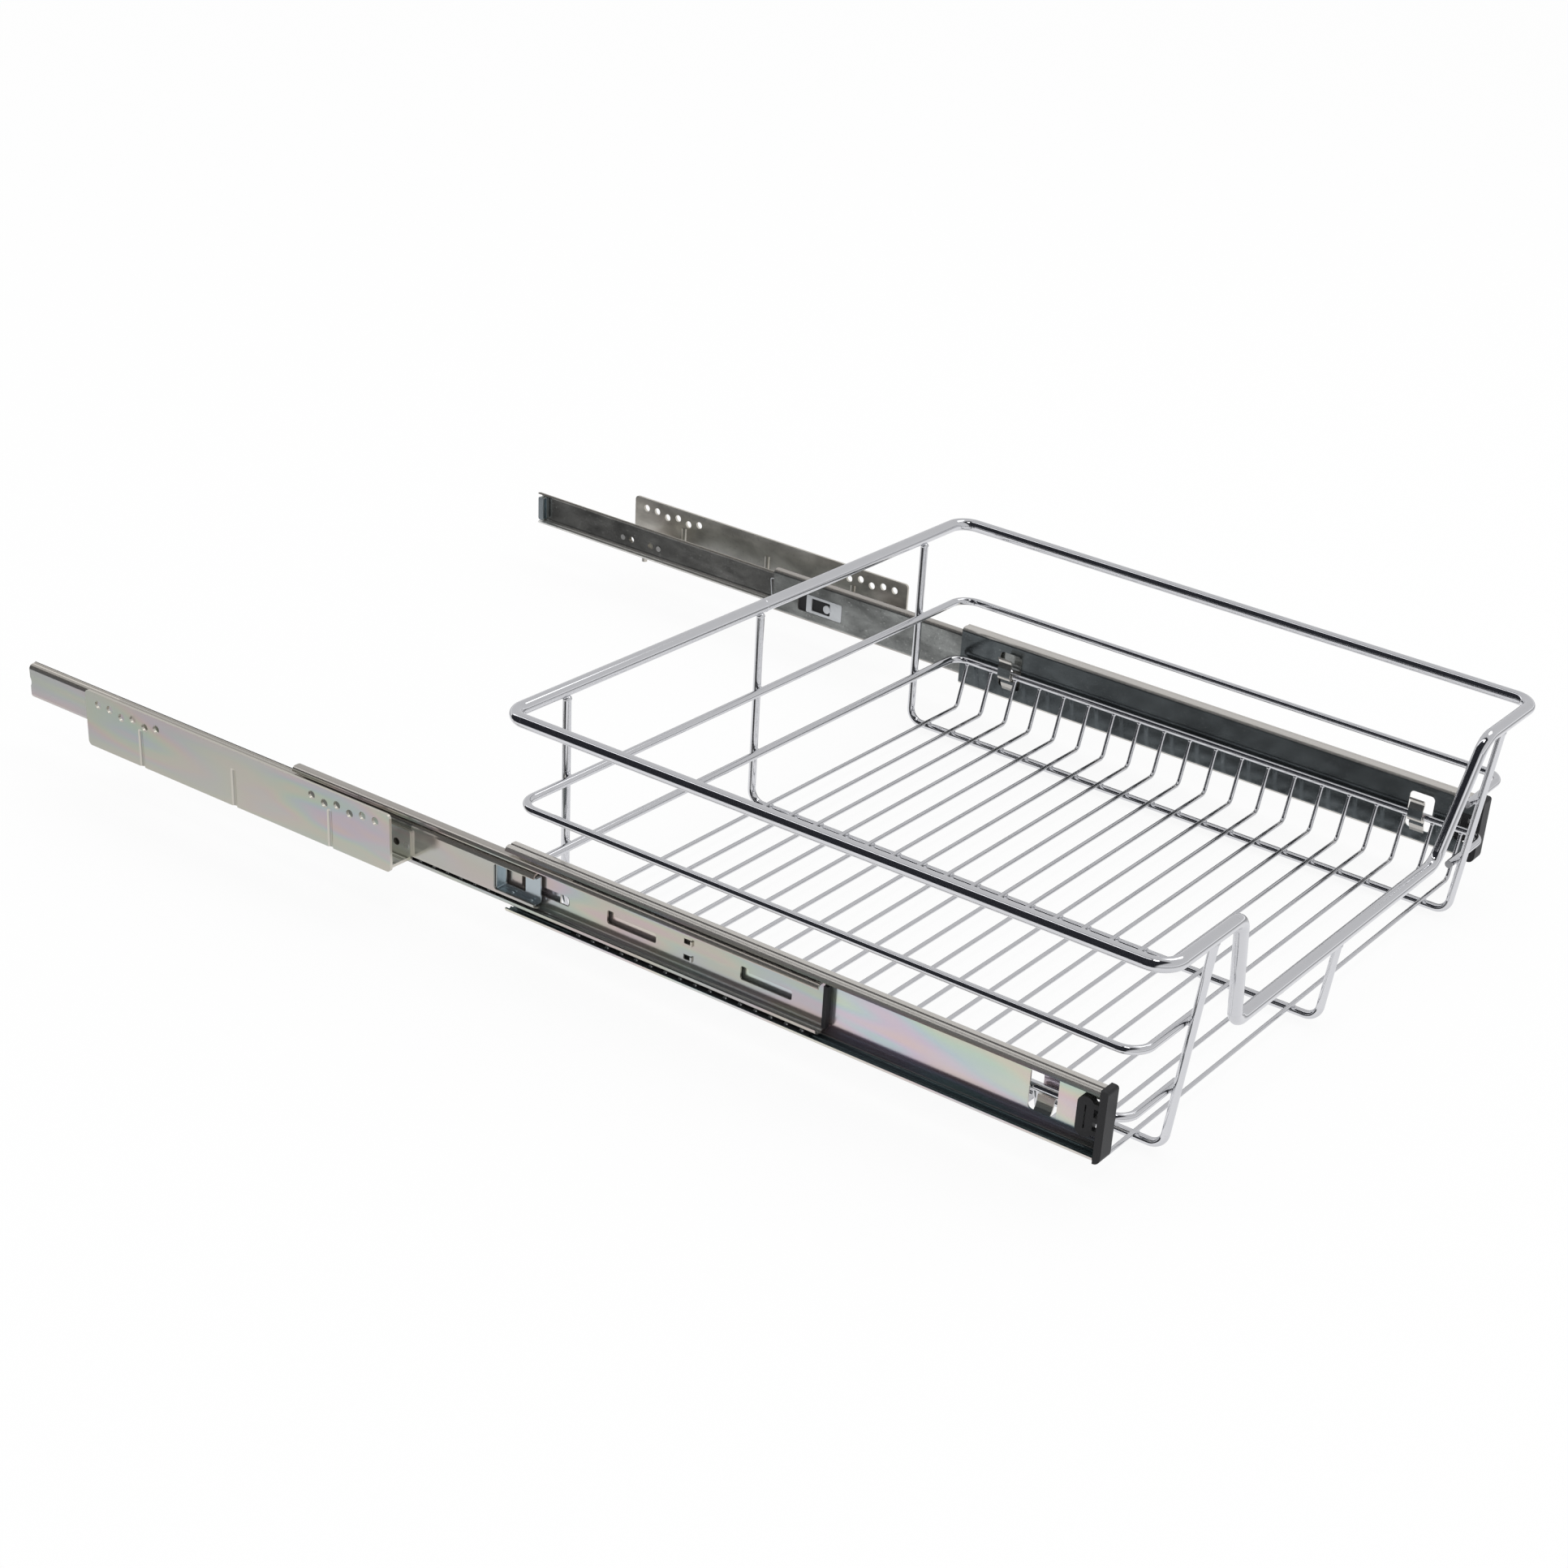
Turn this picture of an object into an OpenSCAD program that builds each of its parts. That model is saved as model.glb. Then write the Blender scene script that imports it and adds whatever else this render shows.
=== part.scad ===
// Pull-out wire basket for a kitchen cabinet, drawn fully out on its two three-part ball runners.
// The basket pulls out along -Y, the cabinet is at +Y and +Z is up. The right side is drawn and mirrored.
// Pieces are drawn from the front ends of the cabinet rails, on their centre line, and then moved so that
// the origin is the middle of the drawn-out length and width, level with the basket's underside.

/* [Cabinet fit] */
// Width over the two mounting brackets, the clear width inside the cabinet
overall_w = 564; // [480:2:760]
// Distance from the outer face of a bracket to the cabinet rail that it carries
standoff = 21.7; // [18:0.1:26]
// Thickness of one runner, from the cabinet rail's back to the drawer rail's back
runner_t = 13; // [12.8:0.1:15]

/* [Runners] */
// Length of a cabinet rail
cabinet_rail_l = 450; // [436:2:520]
// Length of a middle rail
middle_rail_l = 418; // [410:1:424]
// Length of a drawer rail
drawer_rail_l = 428; // [420:1:436]
// How far the middle rails are drawn out of the cabinet rails
middle_reach = 214; // [200:1:224]
// How far the drawer rails are drawn out of the cabinet rails
drawer_reach = 404; // [394:1:410]
// Height of a drawer rail
drawer_rail_h = 46; // [45.4:0.1:49]
// Height of a middle rail
middle_rail_h = 34.6; // [34:0.1:35]
// Height of a cabinet rail
cabinet_rail_h = 24.2; // [23.6:0.1:24.6]
// Thickness of the rails' steel sheet
sheet_t = 1.2; // [1:0.05:1.3]
// Radius of the rails' bends, at the middle of the sheet
rail_bend_r = 2.4; // [2:0.1:2.8]
// Diameter of the balls between the drawer and middle rails
outer_ball_d = 3.6; // [3.2:0.1:3.7]
// Diameter of the balls between the middle and cabinet rails
inner_ball_d = 3; // [2.6:0.1:3.1]
// Distance between neighbouring balls
ball_pitch = 11.3; // [9:0.1:16]
// Length of the ball cage between the drawer and middle rails
outer_cage_l = 181; // [130:1:181]
// Length of the ball cage between the middle and cabinet rails
inner_cage_l = 101; // [80:1:102]

/* [Brackets] */
// Length of a mounting bracket
bracket_l = 271; // [262:1:292]
// Height of a mounting bracket
bracket_h = 39.5; // [35:0.5:44]
// Thickness of the bracket's plate
bracket_t = 2; // [1.5:0.1:2.5]
// Distance from the cabinet rail's front end to the middle of the bracket
bracket_y = 233; // [224:1:244]
// Diameter of the screw holes
screw_hole_d = 5.6; // [4:0.1:6.2]
// Distance between neighbouring screw holes along the bracket
screw_pitch = 10.8; // [9.6:0.1:11.4]
// Distance from the bracket's end to its first screw hole
screw_edge = 12; // [9:0.1:14]
// Length of a bracket foot
foot_l = 43; // [38:1:50]
// Distance between the middles of the two feet
foot_gap = 224; // [204:1:226]

/* [Basket] */
// Diameter of the rim wire
rim_d = 8.8; // [7.6:0.1:10]
// Diameter of the ring and frame wires
ring_d = 5.5; // [4.4:0.1:5.7]
// Diameter of the floor wires
floor_d = 3; // [2.6:0.1:3.4]
// Height of the rim above the lower ring
rim_z = 103.9; // [88:0.1:170]
// Height of the middle ring above the lower ring
middle_ring_z = 46.2; // [40:0.1:66]
// Depth of the floor frames below the lower ring
floor_drop = 38.6; // [34:0.1:64]
// How far the rim stands out beyond the lower ring on each side
rim_flare = 4; // [2:0.1:8]
// How far the middle ring stands out beyond the lower ring on each side
middle_flare = 3; // [1.5:0.1:5]
// Distance from the drawer rail's rear end to the middle of the rim's rear wire
rim_behind = 9.1; // [6:0.1:20]
// Distance from the middle of the rim's rear wire to the frames' rear uprights
upright_inset = 2.3; // [1.5:0.1:4]
// How far the rings' ends reach past the outer front wires
ring_past = 9; // [4:0.5:12]
// Distance from the drawer rail's front end to the foot of the front wires
front_ahead = 11.4; // [9:0.1:16]
// How far the front leans out from the floor to the rim
front_lean = 13.7; // [4:0.1:20]
// Radius of the rim's and rings' corners, at the middle of the wire
corner_r = 14; // [11:0.5:20]
// Distance from the lower ring's side to the left and right floor frames
frame_inset = 48; // [40:0.5:60]
// Distance from the rim's side to the dip in its front
dip_inset = 81.7; // [70:0.1:100]
// How far the dip narrows towards its lower edge on each side
dip_run = 28.7; // [18:0.1:45]
// Height of the dip's lower edge above the lower ring
dip_z = 21; // [15:0.1:30]
// Number of floor wires
floor_count = 20; // [12:1:22]
// Distance from the rear end of the drawer rail to the first floor wire
floor_start = 10.3; // [8:0.1:14]
// Distance from the foot of the front wires to the last floor wire
floor_end = 17.6; // [14:0.1:24]

/* [Hidden] */

// Colours as the photo shows them
steel = [0.78, 0.77, 0.74];
blue_zinc = [0.5, 0.56, 0.6];
chrome_grey = [0.83, 0.84, 0.86];
black_plastic = [0.1, 0.1, 0.11];
steel_balls = [0.7, 0.71, 0.73];

// Gaps that more than one piece uses
overrun = 1;
weld_gap = 0.05;
slip = 0.35;
seat_gap = 0.2;
// A bend is a hair thicker than its wire, and each straight length runs this far into it
swell = 0.03;
lap = 0.05;

// Runner planes, measured outwards from the middle of the drawer
cabinet_back = overall_w / 2 - standoff;
drawer_back = cabinet_back - runner_t;
drawer_web = drawer_back + sheet_t / 2;
drawer_bore = drawer_back + sheet_t;
middle_web_gap = 2.1;
middle_web = drawer_bore + middle_web_gap + sheet_t / 2;
cabinet_web = cabinet_back - sheet_t / 2;

// Ball races: each race is an arc round the ball's centre, one clearance and half a sheet away
drawer_flange_z = drawer_rail_h / 2 - sheet_t / 2;
outer_race_r = outer_ball_d / 2 + slip + sheet_t / 2;
outer_ball_z = drawer_flange_z - outer_race_r;
outer_ball_x = drawer_web + rail_bend_r * 2 + outer_race_r + slip;
middle_flange_z = min(middle_rail_h / 2, outer_ball_z - outer_ball_d / 2 - slip) - sheet_t / 2;
inner_race_r = inner_ball_d / 2 + slip + sheet_t / 2;
inner_ball_z = middle_flange_z - inner_race_r;
race_shoulder = 1;
inner_ball_x = cabinet_back - sheet_t - inner_race_r - race_shoulder / 2;
cabinet_flange_z = cabinet_rail_h / 2 - sheet_t / 2;
lip_l = 1.2;
// Where each race's arc starts and ends, in degrees from straight out
drawer_race = [140, 20];
middle_race = [90, 0];
cabinet_race = [285, 222];

// Places of the pieces along the runner
middle_front = -middle_reach;
middle_rear = middle_rail_l - middle_reach;
drawer_front = -drawer_reach;
drawer_rear = drawer_rail_l - drawer_reach;

// Cages: a thin strip through the middle of each row of balls, joined by a web
cage_t = 0.8;
cage_slip = 0.5;
outer_cage_start = 6;
inner_cage_start = 34;
// Where the outer cage's web starts and ends, clear of the slots in the middle rail
outer_web = [58, 88];
pocket_gap = 0.15;
outer_cage_front = middle_front + outer_cage_start;
inner_cage_front = inner_cage_start;

// Hook windows in the drawer rails, and the tongue that is bent out of each
window_w = 19;
window_low = 13;
window_top = 14.5;
window_r = 3;
rear_window = 45;
front_window = 40.7;
tongue_w = 11;
// Where the tongue's bend round the lower ring starts and ends, in degrees from straight out
tongue_turn = [-75, -180];
hook_slip = 1;

// Stepped slots in the middle rail's back, its latch window and its two lanced tabs
slot_starts = [-21.5, -89.3, -190.9];
slot_l = 38;
slot_low = -5.5;
slot_top = 1;
slot_r = 1.5;
step_l = 6;
step_top = 3.6;
latch_window = [137.5, 179.5];
latch_low = -9;
latch_top = 6;
lance_y = -116;
lance_l = 5.6;
lance_h = 3.4;
lance_zs = [2.8, -7.8];

// Stop clips
clip_t = 1;
clip_l = 32;
clip_play = 0.4;
clip_r = 1.5;
clip_hole_r = 1;
clip_window = [11, 27];
clip_window_h = 11;
clip_window_z = 0;
rivet_ys = [5, 20];
rivet_bump_d = 2;
rivet_in = 3;
cut_h = 17.5;
cut_r = 2.2;
rear_cut_r = 5.6;
rear_cut_out = 4.6;
rear_stop_in = 0.5;
rear_stop_l = 5;

// Latch at the middle rail's rear end
latch_l = 67;
latch_past = 1;
latch_wall = 1.5;
latch_mouth = 3;
latch_gap = 1.2;
latch_hole = [11, 5];
latch_rim = 2;
latch_pin_d = 6.4;
latch_open = 8;
latch_pin_out = 0.6;
spring_d = 0.9;
spring_in = 2;
spring_bend_r = 1.1;
spring_lean = 1;
spring_reach = 3.5;

// Bumper and half-sheared stops
bumper_l = 3;
dimple = 5.4;
dimple_y = 7;
dimple_z = 17;
dimple_depth = 0.6;

// End cap
cap_plate_t = 5;
cap_over = 0.8;
cap_in = 0.4;
cap_corner_r = 2;
cap_nose_r = 4.5;
cap_boss = [5.4, 16.4];
cap_boss_h = 25.6;
cap_boss_r = 5;
cap_slit = [1, 15];
cap_notch_l = 13;
cap_notch_h = 22;
cap_rib_h = 3.2;
cap_rib_gap = 8.5;

// Bracket features
foot_hole_d = 5;
foot_hole_gap = 19.7;
foot_rivet_gap = 36.8;
foot_rivet_d = 2.9;
foot_under = 1;
tab_top = 8;
bead_d = 5;
bead_cut = 1.2;
bead_out = 1.7;
bead_gap = 84.5;
bead_top = 12;
stub_d = 4.4;
stub_l = 6.5;
low_row = 2.2;
plate_r = 3;
foot_r = 2;
rivet_head_t = 0.5;
rivet_head_d = 4.4;
screw_top = 7.9;
foot_hole_z = -2.8;
// Screw holes of one group, counted from the bracket's end: 0 is the upper row, 1 the lower row
row_shares = [0, 0, 1, 0, 1, 0];

// Basket places
ring_slack = 1.3;
lower_ring_x = drawer_back - ring_d / 2 - ring_slack;
rim_x = lower_ring_x + rim_flare;
middle_ring_x = lower_ring_x + middle_flare;
frame_x = lower_ring_x - frame_inset;
dip_top_x = rim_x - dip_inset;
dip_low_x = dip_top_x - dip_run;
rim_rear = drawer_rear + rim_behind;
upright_y = rim_rear - upright_inset;
ring_rear = upright_y - ring_d - weld_gap;
front_foot = drawer_front - front_ahead;
function front_y(z) = front_foot - front_lean * (z + floor_drop) / (rim_z + floor_drop);
rim_front = front_y(rim_z);
floor_z = -floor_drop + ring_d / 2 + floor_d / 2 + weld_gap;
floor_rear = drawer_rear - floor_start;
floor_pitch = (floor_rear - front_foot - floor_end) / (floor_count - 1);
floor_turn_in = 11;
floor_bend_x = lower_ring_x - floor_turn_in;
low_corner_r = 12;
frame_bend_r = 10;
floor_bend_r = 5.5;
dip_bend_r = 13;

// Place of the origin, from the front ends of the cabinet rails on their centre line
origin_y = (cabinet_rail_l + rim_front - rim_d / 2) / 2;
origin_z = -floor_drop - ring_d / 2;

// Plain geometry

function unit(v) = v / norm(v);
function perp(v) = [-v[1], v[0]];
function arc(c, r, a0, a1, n) =
    [for (k = [0:n]) let (a = a0 + (a1 - a0) * k / n) c + r * [cos(a), sin(a)]];
function flip(p) = [for (k = [len(p) - 1:-1:0]) [p[k][0], -p[k][1]]];
function leg(p, i) = unit(p[i + 1] - p[i]);
function miter(p, i) =
    i == 0 ? perp(leg(p, 0)) :
    i == len(p) - 1 ? perp(leg(p, i - 1)) :
    let (a = perp(leg(p, i - 1)), m = unit(a + perp(leg(p, i)))) m / (m * a);
// Outline of a bent sheet of thickness t round its middle line p
function ribbon(p, t) = concat([for (i = [0:len(p) - 1]) p[i] + miter(p, i) * t / 2],
                               [for (i = [len(p) - 1:-1:0]) p[i] - miter(p, i) * t / 2]);

// Extrudes a section in X and Z from y0 to y1
module along_y(y0, y1) {
    translate([0, y1, 0]) rotate([90, 0, 0]) linear_extrude(y1 - y0) children();
}

// Box between two corners
module block(a, b) {
    translate(a) cube(b - a);
}

// Plate in Y and Z with round corners, from x0 to x1
module slab(x0, x1, y0, y1, z0, z1, r) {
    translate([x0, 0, 0]) rotate([90, 0, 90]) linear_extrude(x1 - x0) rounded(y0, y1, z0, z1, r);
}

module rounded(a0, a1, b0, b1, r) {
    union() {
        translate([a0 + r, b0]) square([a1 - a0 - 2 * r, b1 - b0]);
        translate([a0, b0 + r]) square([a1 - a0, b1 - b0 - 2 * r]);
        for (a = [a0 + r, a1 - r], b = [b0 + r, b1 - r])
            translate([a, b]) circle(r, $fn = 24);
    }
}

// Straight rod between two points
module rod(p, q, d) {
    v = q - p;
    translate(p) rotate([0, acos(v[2] / norm(v)), atan2(v[1], v[0])])
        cylinder(h = norm(v), d = d, $fn = 24);
}

// Round bend at corner b of the path a, b, c
module bend(a, b, c, r, d) {
    u = unit(b - a);
    v = unit(c - b);
    turn = acos(u * v);
    w = unit(v - (v * u) * u);
    o = b - u * r * tan(turn / 2) + w * r;
    n = cross(-w, u);
    multmatrix([for (k = [0:2]) [-w[k], u[k], n[k], o[k]]])
        rotate_extrude(angle = turn, $fn = 72) translate([r, 0]) circle(d = d + swell, $fn = 24);
}

function cut_back(a, b, c, r) = r * tan(acos(unit(b - a) * unit(c - b)) / 2) - lap;

// Bent wire through points p, each inner point rounded to its radius in r; closed joins the ends
module wire(p, r, d, closed = false) {
    n = len(p);
    union() {
        for (i = [0:closed ? n - 1 : n - 2]) {
            a = p[(i + n - 1) % n];
            b = p[i];
            c = p[(i + 1) % n];
            e = p[(i + 2) % n];
            start = !closed && i == 0 ? 0 : cut_back(a, b, c, r[i]);
            stop = !closed && i == n - 2 ? 0 : cut_back(b, c, e, r[(i + 1) % n]);
            rod(b + unit(c - b) * start, c - unit(c - b) * stop, d);
        }
        for (i = [closed ? 0 : 1:closed ? n - 1 : n - 2])
            bend(p[(i + n - 1) % n], p[i], p[(i + 1) % n], r[i], d);
    }
}

// Moves a piece to the origin; left_side also mirrors it
module placed() {
    translate([0, -origin_y, -origin_z]) children();
}

module left_side() {
    mirror([1, 0, 0]) placed() children();
}

// Mounting bracket: a plate on the cabinet's side, with two feet that reach under to the cabinet rail
module bracket() {
    x1 = overall_w / 2;
    x0 = x1 - bracket_t;
    z0 = -cabinet_rail_h / 2 - foot_under;
    z1 = z0 + bracket_h;
    y0 = bracket_y - bracket_l / 2;
    y1 = bracket_y + bracket_l / 2;
    color(steel) difference() {
        union() {
            slab(x0, x1, y0, y1, z0, z1, plate_r);
            for (y = [bracket_y - foot_gap / 2, bracket_y + foot_gap / 2]) {
                f0 = y - foot_l / 2;
                f1 = y + foot_l / 2;
                slab(cabinet_back, cabinet_back + bracket_t, f0, f1, z0, tab_top, foot_r);
                block([cabinet_back, f0 + foot_r, z0], [x1 - bracket_t / 2, f1 - foot_r, z0 + bracket_t]);
                translate([cabinet_back + 2 * bracket_t, y, z0 - stub_l])
                    cylinder(h = stub_l + bracket_t / 2, d = stub_d, $fn = 24);
            }
            for (k = [-1:1])
                translate([x0 + bead_d / 2 - bead_out, bracket_y + k * bead_gap, z0 + bracket_t])
                    cylinder(h = bead_top - z0 - bracket_t, d = bead_d, $fn = 24);
        }
        for (k = [-1:1])
            translate([x1 + bead_d / 2 - bead_cut, bracket_y + k * bead_gap, z0 - overrun]) {
                cylinder(h = bead_top - z0 + overrun, d = bead_d, $fn = 24);
                translate([0, 0, bead_top - z0 + overrun]) sphere(d = bead_d - swell, $fn = 24);
            }
        for (s = [-1, 1], k = [0:len(row_shares) - 1])
            translate([x0 - overrun, bracket_y + s * (bracket_l / 2 - screw_edge - k * screw_pitch),
                       z1 - screw_top - row_shares[k] * low_row])
                rotate([0, 90, 0]) cylinder(h = bracket_t + 2 * overrun, d = screw_hole_d, $fn = 32);
        for (y = [-1, 1] * foot_gap / 2, s = [-1, 1]) {
            foot_bore(bracket_y + y + s * foot_hole_gap / 2, foot_hole_d);
            foot_bore(bracket_y + y + s * foot_rivet_gap / 2, foot_rivet_d + 2 * weld_gap);
        }
    }
}

// Bore through the foot's tab and the cabinet rail's back
module foot_bore(y, d) {
    translate([cabinet_back - sheet_t - overrun, y, foot_hole_z]) rotate([0, 90, 0])
        cylinder(h = sheet_t + bracket_t + 2 * overrun, d = d, $fn = 32);
}

// Rivets that fasten the feet to the cabinet rail
module bracket_rivets() {
    color(steel) for (y = [-1, 1] * foot_gap / 2, s = [-1, 1])
        translate([cabinet_back, bracket_y + y + s * foot_rivet_gap / 2, foot_hole_z]) rotate([0, 90, 0]) {
            translate([0, 0, -sheet_t - rivet_head_t])
                cylinder(h = rivet_head_t, d = rivet_head_d, $fn = 32);
            translate([0, 0, -sheet_t - rivet_head_t])
                cylinder(h = sheet_t + bracket_t + 2 * rivet_head_t, d = foot_rivet_d, $fn = 32);
            translate([0, 0, bracket_t]) cylinder(h = rivet_head_t, d = rivet_head_d, $fn = 32);
        }
}

// Middle line of the cabinet rail's upper half, from the back round the bend to the grooved flange's tip
function cabinet_half() = concat(
    arc([cabinet_web - rail_bend_r, cabinet_flange_z - rail_bend_r], rail_bend_r, 0, 90, 5),
    arc([inner_ball_x, inner_ball_z], inner_race_r, cabinet_race[0], cabinet_race[1], 6));

// Cabinet rail: the smallest rail, open towards the basket and cut out at its front for the stop
module cabinet_rail() {
    half = cabinet_half();
    x0 = cabinet_back - 2 * sheet_t;
    x1 = cabinet_back + overrun;
    color(steel) difference() {
        along_y(0, cabinet_rail_l) polygon(ribbon(concat(flip(half), half), sheet_t));
        slab(x0, x1, -cut_h, clip_l, -cut_h / 2, cut_h / 2, cut_r);
        translate([x0, cabinet_rail_l + rear_cut_out, 0]) rotate([0, 90, 0])
            cylinder(h = 3 * sheet_t, r = rear_cut_r, $fn = 32);
        for (y = [-1, 1] * foot_gap / 2, s = [-1, 1]) {
            foot_bore(bracket_y + y + s * foot_hole_gap / 2, foot_hole_d);
            foot_bore(bracket_y + y + s * foot_rivet_gap / 2, foot_rivet_d + 2 * weld_gap);
        }
    }
}

// Half height and depth of the space inside the cabinet rail that the stops and the latch use
function rail_room() = cabinet_flange_z - sheet_t / 2 - slip - race_shoulder / 2;
function rail_depth() = inner_ball_x - inner_race_r;

// Front stop: a pressed box in the cabinet rail's mouth, with a window in its base
module front_stop() {
    x0 = rail_depth();
    x1 = cabinet_back - sheet_t - seat_gap;
    y1 = clip_l - clip_play;
    w0 = clip_window_z - clip_window_h / 2;
    h = rail_room() - clip_play;
    color(blue_zinc) difference() {
        slab(x0, x1, -clip_t, y1, -h, h, clip_r);
        slab(x0 + clip_t, x1 + overrun, -2 * clip_t - overrun, y1 - clip_t,
             clip_t - h, h - clip_t, clip_hole_r);
        slab(x0 - overrun, x0 + clip_t + overrun, clip_window[0], clip_window[1],
             w0, w0 + clip_window_h, clip_hole_r);
    }
    color(blue_zinc) for (y = rivet_ys)
        translate([x1 - rivet_in, y, clip_t - h]) sphere(d = rivet_bump_d, $fn = 24);
}

// Rear stop: a flat box just inside the cabinet rail's rear end
module rear_stop() {
    x0 = rail_depth();
    x1 = cabinet_back - sheet_t - seat_gap;
    y1 = cabinet_rail_l - rear_stop_in;
    y0 = y1 - rear_stop_l;
    h = rail_room() - clip_play;
    color(blue_zinc) difference() {
        slab(x0, x1, y0, y1, -h, h, clip_r);
        slab(x0 + clip_t, x1 - clip_t, y0 - overrun, y1 - clip_t, clip_t - h, h - clip_t, clip_hole_r);
    }
}

// Places of the balls along a cage
function ball_places(y0, l) = [for (y = [y0 + ball_pitch / 2:ball_pitch:y0 + l - ball_pitch / 2]) y];

// Ball cage: two pocketed strips joined by a web between w0 and w1
module cage(x0, bx, bz, reach, y0, l, ball_d, w0, w1) {
    color(black_plastic) difference() {
        union() {
            block([x0, w0, -bz], [x0 + cage_t, w1, bz]);
            for (s = [-1, 1])
                block([x0, y0, s * bz - cage_t / 2], [bx + reach, y0 + l, s * bz + cage_t / 2]);
        }
        for (y = ball_places(y0, l), s = [-1, 1])
            translate([bx, y, s * bz - cage_t]) cylinder(h = 2 * cage_t, d = ball_d + pocket_gap, $fn = 24);
    }
}

module ball_row(bx, bz, y0, l, d) {
    color(steel_balls) for (y = ball_places(y0, l), s = [-1, 1])
        translate([bx, y, s * bz]) sphere(d = d, $fn = 24);
}

module inner_cage() {
    x0 = middle_web + sheet_t / 2 + cage_slip;
    reach = inner_ball_d / 2 - slip / 2;
    cage(x0, inner_ball_x, inner_ball_z, reach, inner_cage_front, inner_cage_l, inner_ball_d,
         inner_cage_front, inner_cage_front + inner_cage_l);
}

module inner_balls() {
    ball_row(inner_ball_x, inner_ball_z, inner_cage_front, inner_cage_l, inner_ball_d);
}

module outer_cage() {
    x0 = drawer_bore + (middle_web_gap - cage_t) / 2;
    reach = outer_ball_d / 2 - slip / 2;
    cage(x0, outer_ball_x, outer_ball_z, reach, outer_cage_front, outer_cage_l, outer_ball_d,
         outer_cage_front + outer_web[0], outer_cage_front + outer_web[1]);
}

module outer_balls() {
    ball_row(outer_ball_x, outer_ball_z, outer_cage_front, outer_cage_l, outer_ball_d);
}

// Middle line of the middle rail's upper half: web, bend, flat under the outer balls, inner race and lip
function middle_half() = concat(
    arc([middle_web + rail_bend_r, middle_flange_z - rail_bend_r], rail_bend_r, 180, 90, 5),
    arc([inner_ball_x, inner_ball_z], inner_race_r, middle_race[0], middle_race[1], 6),
    [[inner_ball_x + inner_race_r, inner_ball_z - lip_l / 2]]);

// Middle rail, open towards the cabinet's side, with stepped slots and a latch window in its back
module middle_rail() {
    half = middle_half();
    x0 = middle_web - sheet_t;
    x1 = middle_web + sheet_t;
    color(steel) union() {
        difference() {
            along_y(middle_front, middle_rear) polygon(ribbon(concat(flip(half), half), sheet_t));
            for (y = slot_starts) {
                slab(x0, x1, y, y + slot_l, slot_low, slot_top, slot_r);
                slab(x0, x1, y + slot_l - step_l, y + slot_l, slot_low, step_top, slot_r);
            }
            slab(x0, x1, min(latch_window), max(latch_window), latch_low, latch_top, slot_r);
            for (z = lance_zs)
                block([x0, lance_y, z], [x1, lance_y + lance_l, z + lance_h]);
        }
        for (z = lance_zs)
            block([middle_web - sheet_t / 2, lance_y - sheet_t, z],
                  [x1 + sheet_t / 2, lance_y, z + lance_h]);
    }
}

// Rubber-like bumper clipped over the front edge of the middle rail's back
module middle_bumper() {
    x0 = middle_web - sheet_t / 2 - cage_slip;
    h = middle_flange_z - rail_bend_r - slip;
    color(black_plastic) block([x0, middle_front - bumper_l, -h], [rail_depth() - slip, middle_front, h]);
}

// Latch block at the rear of the middle rail, which closes the drawer softly
module latch_block() {
    x0 = middle_web + sheet_t / 2;
    x1 = cabinet_back - sheet_t - latch_gap;
    y1 = middle_rear + latch_past;
    h = rail_room() - clip_play;
    color(black_plastic) difference() {
        slab(x0, x1, y1 - latch_l, y1, -h, h, clip_r);
        block([x0 + latch_wall, y1 - latch_mouth, latch_wall - h],
              [x1 - latch_wall, y1 + overrun, h - latch_wall]);
    }
}

// Latch plate in the middle rail's rear slot, with its round pin
module latch_plate() {
    x0 = middle_web - sheet_t / 2;
    y0 = min(latch_window) + slip;
    y1 = max(latch_window) - latch_open;
    z0 = latch_low + slip;
    z1 = latch_top - slip;
    color(chrome_grey) union() {
        difference() {
            slab(x0, x0 + sheet_t, y0, y1, z0, z1, slot_r - slip);
            slab(x0 - overrun, x0 + sheet_t + overrun, y0 + latch_hole[0], y1 - latch_hole[1],
                 z0 + latch_rim, z1 - latch_rim, clip_hole_r);
        }
        translate([x0 - latch_pin_out, y0 + latch_hole[0] + latch_pin_d / 2 - slip, (z0 + z1) / 2])
            rotate([0, 90, 0])
            cylinder(h = sheet_t, d = latch_pin_d, $fn = 32);
    }
}

// Latch spring: a bent wire loop that stands at the latch block's rear end
module latch_spring() {
    x = (middle_web + cabinet_web) / 2 - spring_lean;
    y = middle_rear + latch_past + spring_d / 2;
    h = rail_room() - clip_play - spring_in;
    color(chrome_grey) wire(
        [[x, y, -h], [x, y, h], [x - spring_lean, y + spring_reach, h],
         [x - spring_lean, y + spring_reach / 2, spring_in - h]],
        [for (k = [1:4]) spring_bend_r], spring_d, closed = true);
}

// Middle line of the drawer rail's upper half: web, bend, flat shoulder, ball race and lip
function drawer_half() = concat(
    arc([drawer_web + rail_bend_r, drawer_flange_z - rail_bend_r], rail_bend_r, 180, 90, 5),
    [[outer_ball_x - outer_race_r - slip / 2, drawer_flange_z]],
    arc([outer_ball_x, outer_ball_z], outer_race_r, drawer_race[0], drawer_race[1], 8),
    [[outer_ball_x + outer_race_r, outer_ball_z]]);

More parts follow.
